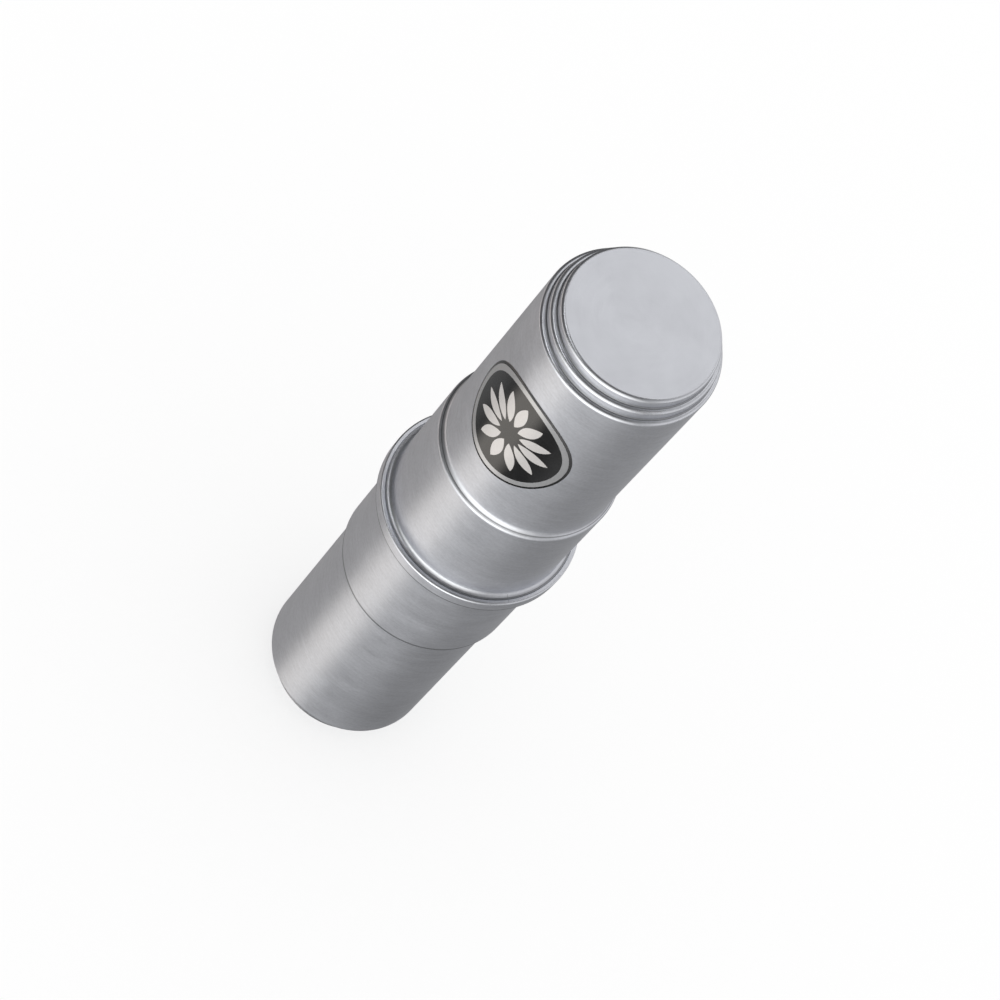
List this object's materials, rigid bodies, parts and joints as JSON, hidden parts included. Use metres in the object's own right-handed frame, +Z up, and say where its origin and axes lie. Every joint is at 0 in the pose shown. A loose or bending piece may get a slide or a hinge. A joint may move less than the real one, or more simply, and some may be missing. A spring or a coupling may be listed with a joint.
{
  "type": "ganza shaker",
  "caption": "Tubular metal shaker: two drawn cup halves with stepped closed ends, joined at a banded middle flange, with loose steel shot sealed inside.",
  "frame": {"origin": "centre of the flat face of the lower end, which the shaker stands on", "axes": "+Z up the axis of the tube towards the end with the label, -Y out through the middle of the label"},
  "size_m": [0.059, 0.059, 0.2334],
  "materials": {
    "shell_aluminium": "satin, faintly spun round the axis",
    "band_aluminium": "satin, rolled",
    "gasket_rubber": "matt",
    "label_film": "glossy black film with silver print",
    "shot_steel": "polished balls with light wear"
  },
  "bodies": {
    "shell": {"lower_shell": "shell_aluminium", "upper_shell": "shell_aluminium", "rim_band": "band_aluminium", "seam_gasket": "gasket_rubber", "label": "label_film"},
    "shot_1": {"shot_layer_1": "shot_steel"},
    "shot_2": {"shot_layer_2": "shot_steel"},
    "shot_3": {"shot_layer_3": "shot_steel"},
    "shot_4": {"shot_layer_4": "shot_steel"},
    "shot_5": {"shot_layer_5": "shot_steel"}
  },
  "joints": [
    {"name": "shot_throw", "type": "slide", "parent": "shell", "child": "shot_1", "axis": [0, 0, 1], "range_m": [0, 0.142]},
    {"name": "shot_spread_2", "type": "slide", "parent": "shot_1", "child": "shot_2", "axis": [0, 0, 1], "range_m": [0, 0.015]},
    {"name": "shot_spread_3", "type": "slide", "parent": "shot_2", "child": "shot_3", "axis": [0, 0, 1], "range_m": [0, 0.015]},
    {"name": "shot_spread_4", "type": "slide", "parent": "shot_3", "child": "shot_4", "axis": [0, 0, 1], "range_m": [0, 0.015]},
    {"name": "shot_spread_5", "type": "slide", "parent": "shot_4", "child": "shot_5", "axis": [0, 0, 1], "range_m": [0, 0.015]}
  ]
}
